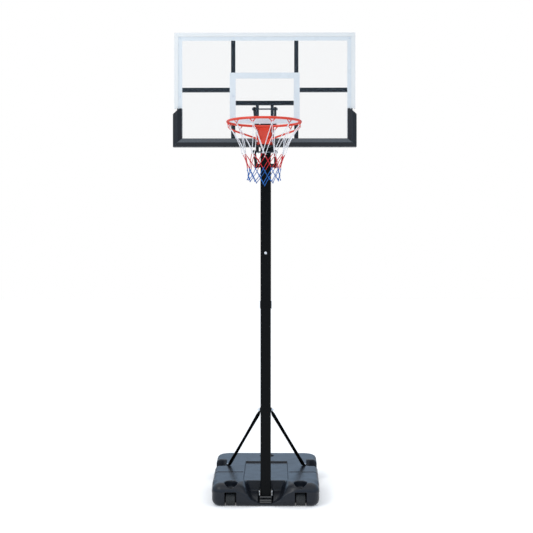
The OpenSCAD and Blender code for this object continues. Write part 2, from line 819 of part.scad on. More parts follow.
module rim_bracket() color([0.75, 0.16, 0.1]) {
    shelf = rim_z - rod_r + 2;
    back = sheet_y - plate_t;
    difference() {
        along_y(back, sheet_y) polygon([[-plate_half + 4, bracket_low], [plate_half - 4, bracket_low],
            [plate_half, shelf], [-plate_half, shelf]]);
        rim_bolt_holes(sheet_y + e, plate_t + 2 * e);
    }
    box([-plate_half, bracket_nose, shelf - 6], [plate_half, back, shelf]);
    both_sides() along_x(box_half - box_t, box_half) polygon([[back, bracket_low],
        [bracket_knee, bracket_low], [bracket_nose, shelf - 22], [bracket_nose, shelf - 6],
        [back, shelf - 6]]);
    along_x(-box_half + box_t, box_half - box_t) polygon([[bracket_knee, bracket_low],
        [bracket_nose, shelf - 22], [bracket_nose, shelf - 6], [bracket_nose + 4, shelf - 6],
        [bracket_nose + 4, shelf - 21], [bracket_knee + 5, bracket_low]]);
}

module rim_bolts() color("silver") for (at = rim_bolt_at) {
    translate([at[0], sheet_y - plate_t, at[1]]) rotate([90, 0, 0]) {
        cylinder(h = 6, r = 7.2, $fn = 6);
        translate([0, 0, -plate_t - sheet_t - frame_w - 12]) {
            cylinder(h = plate_t + sheet_t + frame_w + 13, r = 4);
        }
    }
    translate([at[0], frame_back + bar_t + 7, at[1]]) rotate([90, 0, 0]) cylinder(h = 7, r = 7, $fn = 6);
}

// The net's funnel: a thin wall that follows the cords' outline
module net() color([0.9, 0.9, 0.9]) translate([0, rim_y, rim_z]) rotate_extrude() {
    line = concat(net_line, [[105, -net_len]]);
    polygon(concat(line, [for (i = [3 : -1 : 0]) line[i] + [net_wall, 0]]));
}

base_tank();
filler_gasket();
filler_cap();
ballast();
wheel_axles();
axle_clips();
translate([-wheel_x, 0, 0]) hub();  // hub_left
translate([-wheel_x, 0, 0]) tyre();  // tyre_left
translate([wheel_x, 0, 0]) hub();  // hub_right
translate([wheel_x, 0, 0]) tyre();  // tyre_right
foot_bracket();
foot_bolts();
anchor_bolts();
pole_bottom();
pole_middle();
pole_top_section();
pole_cap();
strut_left();
strut_right();
strut_pole_bolt();
strut_base_bolts();
upper_pole_bolt();
lower_pole_bolt();
pole_spacers();
lock_bolt();
lock_sleeve();
lock_knob();
upper_arm_left();
upper_arm_right();
lower_arm_left();
lower_arm_right();
rear_bolt();
rear_spacers();
adjuster_channel();
adjuster_grip();
board_channel_left();
board_channel_right();
upper_board_bolt();
lower_board_bolt();
board_spacers();
channel_screws();
frame_perimeter();
frame_uprights();
frame_rails();
rim_spacer_box();
backboard_sheet();
edge_trim();
sheet_screws();
edge_guard_bottom();
edge_guard_left();
edge_guard_right();
rim_ring();
net_hooks();
rim_brace();
rim_bracket();
rim_bolts();
net();
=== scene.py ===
"""Portable basketball hoop: the looks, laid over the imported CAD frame.

Metres, +Z up. The pole's axis is the Z axis, the floor is Z = 0 and the board faces -Y.
"""

import json
import math
import random

import bpy
import numpy as np
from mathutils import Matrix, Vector


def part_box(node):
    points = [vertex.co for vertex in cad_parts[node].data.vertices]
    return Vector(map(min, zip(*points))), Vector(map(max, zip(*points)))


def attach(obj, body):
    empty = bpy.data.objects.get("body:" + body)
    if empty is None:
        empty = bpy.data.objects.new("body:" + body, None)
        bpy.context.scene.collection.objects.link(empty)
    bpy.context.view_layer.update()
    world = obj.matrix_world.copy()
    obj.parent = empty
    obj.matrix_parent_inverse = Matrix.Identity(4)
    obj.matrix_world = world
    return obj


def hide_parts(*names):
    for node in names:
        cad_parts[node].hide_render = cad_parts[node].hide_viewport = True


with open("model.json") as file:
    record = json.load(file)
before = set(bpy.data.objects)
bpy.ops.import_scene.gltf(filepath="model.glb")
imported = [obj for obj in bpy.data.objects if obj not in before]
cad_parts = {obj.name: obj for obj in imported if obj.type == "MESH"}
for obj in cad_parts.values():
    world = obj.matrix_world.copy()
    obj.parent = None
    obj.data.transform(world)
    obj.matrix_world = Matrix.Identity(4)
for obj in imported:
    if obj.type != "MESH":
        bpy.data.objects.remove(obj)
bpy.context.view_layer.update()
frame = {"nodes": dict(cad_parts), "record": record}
chance = random.Random(7)       # seeded, so the net is the same each run


# ---------- measures taken from the frame ----------

tank_low, tank_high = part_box("base_tank")
water_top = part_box("ballast")[1].z
sheet_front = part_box("backboard_sheet")[0].y
trim_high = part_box("edge_trim")[1]
guard_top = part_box("edge_guard_bottom")[1].z
ring_low, ring_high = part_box("rim_ring")
pole_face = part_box("pole_bottom")[1].x
rim_centre = Vector((0.0, (ring_low.y + ring_high.y) / 2, (ring_low.z + ring_high.z) / 2))


# ---------- materials ----------

def srgb(red, green, blue):
    """A linear colour from screen values of 0 to 255."""
    def linear(value):
        value /= 255
        return value / 12.92 if value <= 0.04045 else ((value + 0.055) / 1.055) ** 2.4
    return (linear(red), linear(green), linear(blue), 1.0)


def shade(colour, factor):
    """The same colour, lighter or darker."""
    return tuple(min(1.0, part * factor) for part in colour[:3]) + (1.0,)


def noise(tree, where, scale, detail=3.0):
    """A noise texture in the object's own metres."""
    node = tree.nodes.new("ShaderNodeTexNoise")
    node.inputs["Scale"].default_value = scale
    node.inputs["Detail"].default_value = detail
    node.inputs["Roughness"].default_value = 0.55
    tree.links.new(where, node.inputs["Vector"])
    return node.outputs["Fac"]


def spread(tree, value, low, high):
    """Map a noise's middle range to low and high."""
    node = tree.nodes.new("ShaderNodeMapRange")
    node.inputs["From Min"].default_value = 0.3
    node.inputs["From Max"].default_value = 0.7
    node.inputs["To Min"].default_value = low
    node.inputs["To Max"].default_value = high
    tree.links.new(value, node.inputs["Value"])
    return node.outputs["Result"]


def blend_colours(tree, factor, first, second):
    """Mix two colours, each a value or a socket."""
    node = tree.nodes.new("ShaderNodeMix")
    node.data_type = "RGBA"
    tree.links.new(factor, node.inputs[0])
    for socket, colour in ((node.inputs[6], first), (node.inputs[7], second)):
        if isinstance(colour, bpy.types.NodeSocket):
            tree.links.new(colour, socket)
        else:
            socket.default_value = colour
    return node.outputs[2]


def edge_mask(tree, radius, sharpness):
    """1 at edges, where wear and a painted highlight go, and 0 on flat faces, from a rounded normal
    beside the true one.
    """
    bevel = tree.nodes.new("ShaderNodeBevel")
    bevel.samples = 4
    bevel.inputs["Radius"].default_value = radius
    true_normal = tree.nodes.new("ShaderNodeNewGeometry")
    dot = tree.nodes.new("ShaderNodeVectorMath")
    dot.operation = "DOT_PRODUCT"
    tree.links.new(bevel.outputs["Normal"], dot.inputs[0])
    tree.links.new(true_normal.outputs["Normal"], dot.inputs[1])
    node = tree.nodes.new("ShaderNodeMapRange")
    node.inputs["From Min"].default_value = 1.0
    node.inputs["From Max"].default_value = sharpness
    tree.links.new(dot.outputs["Value"], node.inputs["Value"])
    return node.outputs["Result"], bevel.outputs["Normal"]


def top_light_mask(tree):
    """Where the painted top light goes: 1 on faces that lean up, 0 on faces that stand or hang."""
    facing = tree.nodes.new("ShaderNodeNewGeometry")
    split = tree.nodes.new("ShaderNodeSeparateXYZ")
    tree.links.new(facing.outputs["Normal"], split.inputs[0])
    node = tree.nodes.new("ShaderNodeMapRange")
    node.inputs["From Min"].default_value = 0.1
    node.inputs["From Max"].default_value = 0.5
    tree.links.new(split.outputs["Z"], node.inputs["Value"])
    return node.outputs["Result"]


def make_finish(name, colour, rough, vary=0.12, patch=9.0, grain=0.0, grain_scale=900.0,
                metallic=0.0, specular=0.5, coat=0.0, round_edge=0.0, edge_wear_and_highlight=1.0,
                rough_vary=0.06, painted_top_light=None):
    """A procedural finish: patchy colour and gloss, fine grain, rounded edges lightened by wear and a
    painted highlight, and a painted top light on faces that lean up.
    """
    material = bpy.data.materials.new(name)
    material.use_nodes = True
    tree = material.node_tree
    shader = tree.nodes["Principled BSDF"]
    place = tree.nodes.new("ShaderNodeTexCoord").outputs["Object"]
    mottle = noise(tree, place, patch)
    speck = noise(tree, place, patch * 12, 4.0)
    tint = blend_colours(tree, spread(tree, mottle, 0.0, 1.0),
                         shade(colour, 1 - vary), shade(colour, 1 + vary))
    tint = blend_colours(tree, spread(tree, speck, 0.0, 0.35), tint, shade(colour, 1 - 1.5 * vary))
    # Painted top light: faces that lean up take a lighter colour, as if lit from above.
    if painted_top_light:
        tint = blend_colours(tree, top_light_mask(tree), tint, painted_top_light)
    normal = None
    if round_edge:
        edges, normal = edge_mask(tree, round_edge, 0.90)
        # Painted highlight, partly wear: edges take a lighter colour.
        if edge_wear_and_highlight != 1.0:
            tint = blend_colours(tree, edges, tint, shade(colour, edge_wear_and_highlight))
    tree.links.new(tint, shader.inputs["Base Color"])
    gloss = spread(tree, noise(tree, place, patch * 2.7), rough - rough_vary, rough + rough_vary)
    tree.links.new(gloss, shader.inputs["Roughness"])
    shader.inputs["Metallic"].default_value = metallic
    shader.inputs["Specular IOR Level"].default_value = specular
    shader.inputs["Coat Weight"].default_value = coat
    shader.inputs["Coat Roughness"].default_value = 0.15
    if grain:
        bump = tree.nodes.new("ShaderNodeBump")
        bump.inputs["Distance"].default_value = grain
        bump.inputs["Strength"].default_value = 0.6
        tree.links.new(noise(tree, place, grain_scale, 2.0), bump.inputs["Height"])
        if normal:
            tree.links.new(normal, bump.inputs["Normal"])
        normal = bump.outputs["Normal"]
    if normal:
        tree.links.new(normal, shader.inputs["Normal"])
    return material


def make_sheet_finish(name, colour, opacity, rough):
    """The clear sheet: a faint blue-grey veil over what is behind it."""
    material = bpy.data.materials.new(name)
    material.use_nodes = True
    tree = material.node_tree
    shader = tree.nodes["Principled BSDF"]
    place = tree.nodes.new("ShaderNodeTexCoord").outputs["Object"]
    haze = spread(tree, noise(tree, place, 2.5), 0.0, 1.0)
    tree.links.new(blend_colours(tree, haze, shade(colour, 0.97), shade(colour, 1.03)),
                   shader.inputs["Base Color"])
    tree.links.new(spread(tree, noise(tree, place, 6.0), rough - 0.02, rough + 0.03),
                   shader.inputs["Roughness"])
    shader.inputs["Alpha"].default_value = opacity
    return material


def make_cord_finish(name, colour):
    """Braided cord: slanted plaits along the strand, from its own length and girth."""
    material = make_finish(name, colour, 0.8, vary=0.08, patch=40.0, specular=0.25)
    tree = material.node_tree
    shader = tree.nodes["Principled BSDF"]
    along = tree.nodes.new("ShaderNodeUVMap")
    wave = tree.nodes.new("ShaderNodeTexWave")
    wave.bands_direction = "DIAGONAL"
    wave.inputs["Scale"].default_value = 1.0
    wave.inputs["Distortion"].default_value = 0.4
    tree.links.new(along.outputs["UV"], wave.inputs["Vector"])
    bump = tree.nodes.new("ShaderNodeBump")
    bump.inputs["Distance"].default_value = 0.0008
    tree.links.new(wave.outputs["Fac"], bump.inputs["Height"])
    tree.links.new(bump.outputs["Normal"], shader.inputs["Normal"])
    return material


powder = {"grain": 0.00012, "grain_scale": 1400.0}
fine_powder = {"grain": 0.0001, "grain_scale": 1400.0}

# Edge factors above 1 lighten edges with wear and a painted highlight.
finishes = {
    "tank": make_finish("tank plastic", srgb(24, 28, 35), 0.34, vary=0.05, patch=5.0,
                        grain=0.0003, grain_scale=420.0, specular=0.26, rough_vary=0.03),
    "rubber_black": make_finish("black rubber", srgb(30, 30, 31), 0.75, grain=0.0003),
    "black_plastic": make_finish("black plastic", srgb(24, 25, 27), 0.42, grain=0.0002,
                                 round_edge=0.0012, edge_wear_and_highlight=1.3),
    "water": make_finish("water", srgb(150, 175, 190), 0.1),
    "zinc": make_finish("zinc plate", srgb(214, 218, 222), 0.40, metallic=0.85, patch=60.0,
                        round_edge=0.0008, edge_wear_and_highlight=1.1),
    "wheel_plastic": make_finish("wheel plastic", srgb(28, 29, 31), 0.5, grain=0.0002,
                                 round_edge=0.001),
    "wheel_tread": make_finish("wheel tread", srgb(34, 36, 37), 0.72, vary=0.25, patch=45.0,
                               grain=0.0005, grain_scale=500.0),
    "black_steel": make_finish("black powder coat", srgb(9, 10, 11), 0.46, specular=0.09,
                               round_edge=0.0014, edge_wear_and_highlight=1.6, **powder),
    "slate_steel": make_finish("slate powder coat", srgb(17, 24, 32), 0.42, specular=0.3,
                               round_edge=0.0014, edge_wear_and_highlight=1.5, **powder),
    "clear_sheet": make_sheet_finish("clear sheet", srgb(120, 136, 146), 0.055, 0.08),
    "trim": make_finish("trim", srgb(214, 215, 213), 0.38, vary=0.02, patch=12.0,
                        round_edge=0.001, edge_wear_and_highlight=1.08),
    # The guard's upward faces carry a painted top light and its edges a strong painted highlight.
    "guard": make_finish("guard plastic", srgb(23, 27, 32), 0.38, vary=0.08, grain=0.0002,
                         grain_scale=700.0, specular=0.28, round_edge=0.003, edge_wear_and_highlight=4.5,
                         painted_top_light=srgb(70, 76, 82)),
    "rim_red": make_finish("red powder coat", srgb(206, 52, 24), 0.36, vary=0.06, specular=0.4,
                           coat=0.08, round_edge=0.001, edge_wear_and_highlight=1.15, **powder),
    "net_cord": make_cord_finish("white cord", srgb(236, 236, 238)),
}
tube_black = make_finish("strut black", srgb(10, 11, 12), 0.8, specular=0.0, **fine_powder)
cord_red = make_cord_finish("red cord", srgb(200, 40, 48))
cord_blue = make_cord_finish("blue cord", srgb(38, 100, 174))
paint = make_finish("board paint", srgb(205, 210, 212), 0.3, vary=0.015, patch=3.0)

# CAD nodes whose finish differs from the rest of their slot
# Edge factors above 1 here also lighten edges with wear and a painted highlight.
gloss_black = make_finish("gloss black steel", srgb(14, 14, 15), 0.27, specular=0.9,
                          round_edge=0.0012, edge_wear_and_highlight=1.8, **fine_powder)
arm_black = make_finish("arm black", srgb(12, 13, 14), 0.72, specular=0.03, round_edge=0.0012,
                        edge_wear_and_highlight=1.5, **powder)
dark_bolt = make_finish("dark bolt", srgb(96, 104, 114), 0.42, metallic=1.0, patch=60.0)
oiled_steel = make_finish("oiled steel", srgb(58, 60, 63), 0.5, metallic=1.0, patch=60.0)
own_finish = {
    "foot_bracket": gloss_black,
    "upper_arm_left": arm_black,
    "upper_arm_right": arm_black,
    "lower_arm_left": arm_black,
    "lower_arm_right": arm_black,
    "adjuster_channel": arm_black,
    "upper_board_bolt": dark_bolt,
    "lower_board_bolt": dark_bolt,
    "axle_clips": oiled_steel,
    "wheel_axles": oiled_steel,
}
bright_zinc = make_finish("bright zinc", srgb(224, 230, 236), 0.4, metallic=0.4, patch=60.0)
for part in frame["record"]["subparts"]:
    shown = frame["nodes"][part["node"]].data.materials
    shown.clear()
    shown.append(own_finish.get(part["node"], finishes[part["material_slot"]]))


# ---------- mesh helpers ----------

def add_piece(name, points, faces, material, body, slot, smooth=True):
    """A mesh object that rides on a body and takes the given finish; its slot is not used."""
    mesh = bpy.data.meshes.new(name)
    mesh.from_pydata([tuple(p) for p in points], [], [tuple(f) for f in faces])
    mesh.validate()
    mesh.polygons.foreach_set("use_smooth", [smooth] * len(mesh.polygons))
    mesh.materials.append(material)
    piece = bpy.data.objects.new(name, mesh)
    bpy.context.scene.collection.objects.link(piece)
    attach(piece, body)
    return piece


def grid_faces(rings, sides, start=0):
    """Quads between rings of points, each ring closed."""
    return [(start + i * sides + j, start + i * sides + (j + 1) % sides,
             start + (i + 1) * sides + (j + 1) % sides, start + (i + 1) * sides + j)
            for i in range(rings - 1) for j in range(sides)]


def cap_faces(rings, sides, start=0):
    """The two end faces of a run of rings."""
    last = start + (rings - 1) * sides
    return [tuple(start + j for j in reversed(range(sides))), tuple(last + j for j in range(sides))]


def frames_along(path):
    """A direction and two cross axes at each point, turned as little as possible."""
    found = []
    side = None
    for i, point in enumerate(path):
        run = (path[min(i + 1, len(path) - 1)] - path[max(i - 1, 0)]).normalized()
        if side is None:
            side = run.orthogonal().normalized()
        side = (side - run * side.dot(run)).normalized()
        found.append((point, side, run.cross(side)))
    return found


def smooth_path(points, steps):
    """A Catmull-Rom curve through the points."""
    curve = []
    ends = [2 * points[0] - points[1]] + list(points) + [2 * points[-1] - points[-2]]
    for a, b, c, d in zip(ends, ends[1:], ends[2:], ends[3:]):
        for k in range(steps):
            t = k / steps
            curve.append(0.5 * (2 * b + (c - a) * t + (2 * a - 5 * b + 4 * c - d) * t * t
                                + (3 * b - a - 3 * c + d) * t ** 3))
    return curve + [points[-1]]


# ---------- tank ----------

side_taper = 0.015              # each side comes in by this much at the front
front_corner, rear_corner = 0.070, 0.110
top_edge, front_edge_extra, bottom_edge = 0.036, 0.029, 0.046
seam_step = 0.0025              # the lower half of the moulding is this much smaller
pocket_heights = (0.020, 0.031, 0.050, 0.0915, 0.130, 0.165, 0.200)
pocket_halves = (0.036, 0.056, 0.095, 0.123, 0.136, 0.152, 0.168)
pocket_back, pocket_floor = 0.063, 0.020
panel_half, panel_front, panel_rear, panel_depth = 0.165, 0.043, 0.700, 0.012
groove_y, groove_half, groove_depth, groove_inner = 0.302, 0.0065, 0.009, 0.176
filler_y, filler_radius, filler_depth = 0.930, 0.0575, 0.0155
cup_centre, cup_back, cup_radius, cup_floor = (0.254, -0.060), 0.008, 0.0485, 0.108
well_x, well_half, well_rear, well_top = 0.256, 0.042, 0.004, 0.104
notch_inner, notch_y, notch_half, notch_floor = 0.322, 0.6475, 0.1175, 0.060
tank_cell, kept_share = 0.0042, 0.5
water_cell, water_inset = 0.009, 0.009


def smooth_max(a, b, blend):
    """The larger of two distances, rounded where they meet."""
    near = np.maximum(blend - np.abs(a - b), 0.0) / blend
    return np.maximum(a, b) + near * near * blend / 4


def carve(solid, tool, blend):
    """Cut a tool out of a solid, with a rounded rim."""
    return smooth_max(solid, -tool, blend)


def ramp(low, high, value):
    """0 at low and 1 at high, smooth between; low may be the larger."""
    t = np.clip((value - low) / (high - low), 0.0, 1.0)
    return t * t * (3 - 2 * t)


def round_corner(a, b, radius):
    """The meeting of two faces, rounded to a radius."""
    a = a + radius
    b = b + radius
    return np.hypot(np.maximum(a, 0), np.maximum(b, 0)) + np.minimum(np.maximum(a, b), 0) - radius


def box_side(value, middle, half):
    """Distance past a pair of faces on both sides of a middle."""
    return np.abs(value - middle) - half


def tank_field(x, y, z):
    """Distance to the blow-moulded tank, below 0 inside it."""
    wide = np.abs(x)
    top = tank_high.z
    side = tank_high.x - side_taper * (1 - np.clip((y + 0.05) / 1.01, 0, 1))
    middle = (tank_low.y + tank_high.y) / 2
    reach = (tank_high.y - tank_low.y) / 2
    corner = np.where(y < middle, front_corner, rear_corner)
    body = round_corner(wide - side, np.abs(y - middle) - reach, corner)
    body = body + seam_step * ramp(0.099, 0.092, z)
    front = ramp(0.055, -0.045, y)
    body = round_corner(body, z - top, top_edge + front_edge_extra * front)
    body = round_corner(body, -z, bottom_edge)

    # front pocket for the pole's foot: a U whose side floors slope down to the front
    half = np.interp(z, pocket_heights, pocket_halves)
    back = y - pocket_back + (top - z) * 0.06
    wall = (wide - half - 0.010 * ramp(0.06, 0.0, y)) * 0.85
    side_floor = 0.022 + 0.058 * np.clip((y + 0.10) / 0.163, 0, 1)
    floor = pocket_floor + (side_floor - pocket_floor) * ramp(0.046, 0.056, wide)
    pocket = smooth_max(smooth_max(wall, back, 0.016), (floor - z) * 0.95, 0.010)
    shoulder = ramp(0.020, -0.110, y) * ramp(0.070, 0.125, z)
    body = carve(body, pocket, 0.010 + 0.075 * shoulder)

    # shallow panel behind the pole, grooves and filler recess
    panel = np.maximum(box_side(wide, 0.0, panel_half), np.maximum(panel_front - y, y - panel_rear))
    body = carve(body, np.maximum(panel, top - panel_depth - z), 0.006)
    groove = np.maximum(box_side(y, groove_y, groove_half), -(body + groove_depth))
    body = carve(body, np.maximum(groove, groove_inner - wide), 0.004)
    filler = np.hypot(x, y - filler_y)
    body = carve(body, np.maximum(filler - filler_radius, top - filler_depth - z), 0.006)

    # cups, wheel wells and hand notches
    cup = np.hypot(wide - cup_centre[0], (y - cup_centre[1] - cup_back) * 0.87) - cup_radius
    body = carve(body, smooth_max(cup, cup_floor - z, 0.022), 0.006)
    well = np.maximum(box_side(wide, well_x, well_half), np.maximum(y - well_rear, z - well_top))
    body = carve(body, well, 0.004)
    notch = smooth_max(notch_inner - wide, box_side(y, notch_y, notch_half), 0.030)
    body = carve(body, smooth_max(notch, notch_floor - z, 0.024), 0.012)
    return body


def skin(field, low, size):
    """Closed quad mesh on the zero level of a grid of distances."""
    cells = tuple(n - 1 for n in field.shape)
    total = np.zeros(cells + (3,))
    count = np.zeros(cells)
    crossings = []
    for axis in range(3):
        first = np.moveaxis(field, axis, 0)[:-1]
        second = np.moveaxis(field, axis, 0)[1:]
        crossed = (first < 0) != (second < 0)
        share = np.where(crossed, first / np.where(crossed, first - second, 1.0), 0.0)
        crossings.append((crossed, first < 0))
        for one in (0, 1):
            for two in (0, 1):
                part = (slice(None), slice(one, one + crossed.shape[1] - 1),
                        slice(two, two + crossed.shape[2] - 1))
                hit = np.moveaxis(crossed[part], 0, axis)
                others = [k for k in range(3) if k != axis]
                count += hit
                total[..., axis] += np.moveaxis(share[part], 0, axis)
                total[..., others[0]] += hit * one
                total[..., others[1]] += hit * two
    used = count > 0
    number = np.full(cells, -1)
    number[used] = np.arange(int(used.sum()))
    points = (np.argwhere(used) + total[used] / count[used][:, None]) * size + np.array(low)
    faces = []
    for axis, (crossed, starts_inside) in enumerate(crossings):
        others = [k for k in range(3) if k != axis]
        where = np.argwhere(crossed)
        corners = []
        for one, two in ((-1, -1), (0, -1), (0, 0), (-1, 0)):
            cell = np.zeros_like(where)
            cell[:, axis] = where[:, 0]
            cell[:, others[0]] = where[:, 1] + one
            cell[:, others[1]] = where[:, 2] + two
            corners.append(number[tuple(cell.T)])
        quads = np.stack(corners, axis=1)
        outward = starts_inside[tuple(where.T)]
        if axis == 1:
            outward = ~outward
        quads[~outward] = quads[~outward][:, ::-1]
        faces.append(quads)
    return points, np.concatenate(faces)


def tank_grid(size):
    """The tank's distances on a grid that holds it, with the grid's corner and its heights."""
    low = np.array(tank_low) - 2.5 * size
    shape = [int(math.ceil((tank_high[k] - tank_low[k]) / size)) + 6 for k in range(3)]
    x, y, z = np.meshgrid(*[low[k] + size * np.arange(shape[k]) for k in range(3)], indexing="ij")
    return tank_field(x, y, z), low, z


def build_tank():
    """The tank's skin, and the water that fills it, a wall's thickness further in."""
    field, low, _ = tank_grid(tank_cell)
    tank = add_piece("tank_shell", *skin(field, low, tank_cell), finishes["tank"], "base", "tank")
    thin = tank.modifiers.new("thin", "DECIMATE")
    thin.ratio = kept_share
    thinned = tank.evaluated_get(bpy.context.evaluated_depsgraph_get())
    shaped = bpy.data.meshes.new_from_object(thinned)
    tank.modifiers.clear()
    tank.data = shaped
    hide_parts("base_tank")

    field, low, height = tank_grid(water_cell)
    inside = np.maximum(field + water_inset, height - water_top)
    water = add_piece("water_fill", *skin(inside, low, water_cell), finishes["water"], "base", "water")
    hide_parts("ballast")


build_tank()


# ---------- struts ----------

tab = 0.006                     # thickness of a pressed-flat end
strut_top = 0.690               # height of the bolt through the pole
strut_foot = (0.303, 0.550)     # the bolt in the tank, to the side and behind
tab_reach = 0.020               # from a bolt to where the tab bends into the tube
# along the tab and half its width
tab_outline = ((-0.0150, 0.0040), (-0.0135, 0.0085), (-0.009, 0.0125), (0.0, 0.0150),
               (0.012, 0.0155))
# along the tube, half its width, half its thickness, and how square it is
tube_profile = ((0.006, 0.0155, 0.0036, 4.0), (0.022, 0.0148, 0.0075, 2.6),
                (0.040, 0.0138, 0.0122, 2.1), (0.056, 0.0133, 0.0133, 2.0))
tab_square = 5.0


def build_strut(side, name, node):
    """A round tube whose ends are pressed flat: on the pole's side and on the tank."""
    top = Vector((side * (pole_face + tab / 2), 0.0, strut_top))
    foot = Vector((side * strut_foot[0], strut_foot[1], tank_high.z + tab / 2))
    run = (foot - top).normalized()
    upper = Vector((0.0, run.y, run.z)).normalized()
    lower = Vector((-run.x, -run.y, 0.0)).normalized()
    sideways = Vector((side, 0.0, 0.0))
    stations = []
    for s, half_width in tab_outline:
        stations.append((top + upper * s, sideways.cross(upper), sideways, half_width, tab / 2,
                         tab_square))
    start = top + upper * tab_reach
    end = foot + lower * tab_reach
    tube = (end - start).normalized()
    width_top = sideways.cross(tube).normalized()
    length = (end - start).length
    for s, a, b, power in tube_profile:
        stations.append((start + tube * s, width_top, tube.cross(width_top), a, b, power))
    up = Vector((0.0, 0.0, 1.0))
    width_foot = up.cross(tube).normalized()
    for s, a, b, power in reversed(tube_profile):
        stations.append((start + tube * (length - s), width_foot, tube.cross(width_foot), a, b,
                         power))
    flat = up.cross(lower)
    for s, half_width in reversed(tab_outline):
        stations.append((foot + lower * s, flat, up, half_width, tab / 2, tab_square))
    sides = 28
    points = []
    for centre, across, thick, a, b, power in stations:
        for j in range(sides):
            turn = 2 * math.pi * j / sides
            c, s = math.cos(turn), math.sin(turn)
            reach = (abs(c) ** power + abs(s) ** power) ** (-1 / power)
            points.append(centre + across * (a * c * reach) + thick * (b * s * reach))
    faces = grid_faces(len(stations), sides) + cap_faces(len(stations), sides)
    strut = add_piece(name, points, faces, tube_black, "base", "black_steel")
    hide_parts(node)


def build_strut_bolt():
    """The bolt through the pole and both struts, with a washer, a nut and a thread end each side."""
    low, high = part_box("strut_pole_bolt")
    middle = (low + high) / 2
    face = pole_face + tab
    shank, washer, nut, tip = 0.005, 0.012, 0.0098, 0.004
    sides, hexagon = 24, 6
    # along the bolt, the radius there, and how many corners it has
    half = ((face - 0.001, shank, sides), (face - 0.001, washer, sides),
            (face + 0.002, washer, sides), (face + 0.002, nut, hexagon),
            (face + 0.010, nut, hexagon), (face + 0.010, shank, sides),
            (face + 0.015, shank, sides), (face + 0.016, tip, sides))
    stations = [(-x, r, n) for x, r, n in reversed(half)] + list(half)
    points = []
    for x, radius, corners in stations:
        for j in range(sides):
            turn = 2 * math.pi * j / sides
            wedge = math.pi / corners
            reach = radius * math.cos(wedge) / math.cos((turn + wedge) % (2 * wedge) - wedge)
            points.append((x, middle.y + reach * math.cos(turn), middle.z + reach * math.sin(turn)))
    faces = grid_faces(len(stations), sides) + cap_faces(len(stations), sides)
    bolt = add_piece("strut_bolt", points, [f[::-1] for f in faces], bright_zinc, "base", "zinc",
                     smooth=False)
    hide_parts("strut_pole_bolt")


build_strut(-1, "strut_tube_left", "strut_left")
build_strut(1, "strut_tube_right", "strut_right")
build_strut_bolt()


# ---------- wheels ----------

def build_tyre(name, node, body):
    """A moulded tyre with staggered tread blocks."""
    low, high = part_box(node)
    centre = (low + high) / 2
    radius = (high.z - low.z) / 2
    half = (high.x - low.x) / 2
    inner = radius - 0.008
    around, across = 144, 30
    blocks, rows = 18, 5
    row_span = 4.999            # just under the rows, so that the last edge stays in the last row
    edge_round, edge_drop = 0.004, 0.003
    gap_half, gap_depth = 0.0026, 0.0022
    points = []
    for i in range(around):
        turn = 2 * math.pi * i / around
        ring = [(-half, inner)]
        for j in range(across + 1):
            w = -half + 2 * half * j / across
            shoulder = edge_drop * max(0.0, (abs(w) - half + edge_round) / edge_round) ** 2
            place = (w + half) / (2 * half)
            row = int(place * row_span)
            phase = blocks * (turn / (2 * math.pi)) + (0.5 if row % 2 else 0.0)
            between = abs(phase - round(phase)) * 2 * math.pi * radius / blocks
            seam = abs(place * rows - round(place * rows)) * 0.4 * half
            gap = min(between, seam if abs(w) < half * 0.9 else 1.0)
            depth = gap_depth * max(0.0, 1 - (gap / gap_half) ** 2)
            ring.append((w, radius - shoulder - depth))
        ring.append((half, inner))
        for w, r in ring:
            points.append((centre.x + w, centre.y + r * math.cos(turn),
                           centre.z + r * math.sin(turn)))
    sides = across + 3
    faces = grid_faces(around, sides)
    last = (around - 1) * sides
    faces += [(last + j, last + (j + 1) % sides, (j + 1) % sides, j) for j in range(sides)]
    tyre = add_piece(name, points, [f[::-1] for f in faces], finishes["wheel_tread"], body,
                     "wheel_tread", smooth=False)
    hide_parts(node)


build_tyre("tread_left", "tyre_left", "wheel_left")
build_tyre("tread_right", "tyre_right", "wheel_right")


# ---------- board ----------

def add_strips(name, strips, front, back, material, body, slot):
    """Thin flat strips in one X-Z layer, each given as x0, z0, x1, z1."""
    points = []
    faces = []
    for x0, z0, x1, z1 in strips:
        start = len(points)
        corners = ((x0, z0), (x1, z0), (x1, z1), (x0, z1))
        points += [(x, y, z) for y in (front, back) for x, z in corners]
        faces += [tuple(start + k for k in face) for face in (
            (0, 1, 2, 3), (7, 6, 5, 4), (0, 4, 5, 1), (1, 5, 6, 2), (2, 6, 7, 3), (3, 7, 4, 0))]
    return add_piece(name, points, faces, material, body, slot, smooth=False)


def build_paint():
    """The border inside the trim and the target rectangle, printed on the sheet."""
    front = sheet_front - 0.0004
    back = sheet_front - 0.0001
    lip = 0.027
    border = 0.027
    x_out = trim_high.x - lip
    x_in = x_out - border
    z_out = trim_high.z - lip
    z_in = z_out - border
    z_low = guard_top - 0.004
    strips = [(-x_out, z_in, x_out, z_out), (-x_out, z_low, -x_in, z_in),
              (x_in, z_low, x_out, z_in)]
    line = 0.040
    half = 0.2355
    top = 3.062
    low = 2.718
    strips += [(-half, top - line, half, top), (-half, low, line - half, top - line),
               (half - line, low, half, top - line), (line - half, low, half - line, low + line)]
    add_strips("board_print", strips, front, back, paint, "board", "trim")


build_paint()


# ---------- net ----------

cord = 0.0022                   # radius of a strand
white_low, red_low = 2.472, 2.388


def tube(path, radius, sides, points, faces, uv):
    """Append a capped tube along a path, with its length and girth as its map."""
    start = len(points)
    length = 0.0
    previous = path[0]
    for centre, across, over in frames_along(path):
        length += (centre - previous).length
        previous = centre
        for j in range(sides):
            turn = 2 * math.pi * j / sides
            points.append(centre + across * radius * math.cos(turn)
                          + over * radius * math.sin(turn))
            uv.append((length * 180, j / sides * 2))
    faces += grid_faces(len(path), sides, start)
    faces += cap_faces(len(path), sides, start)


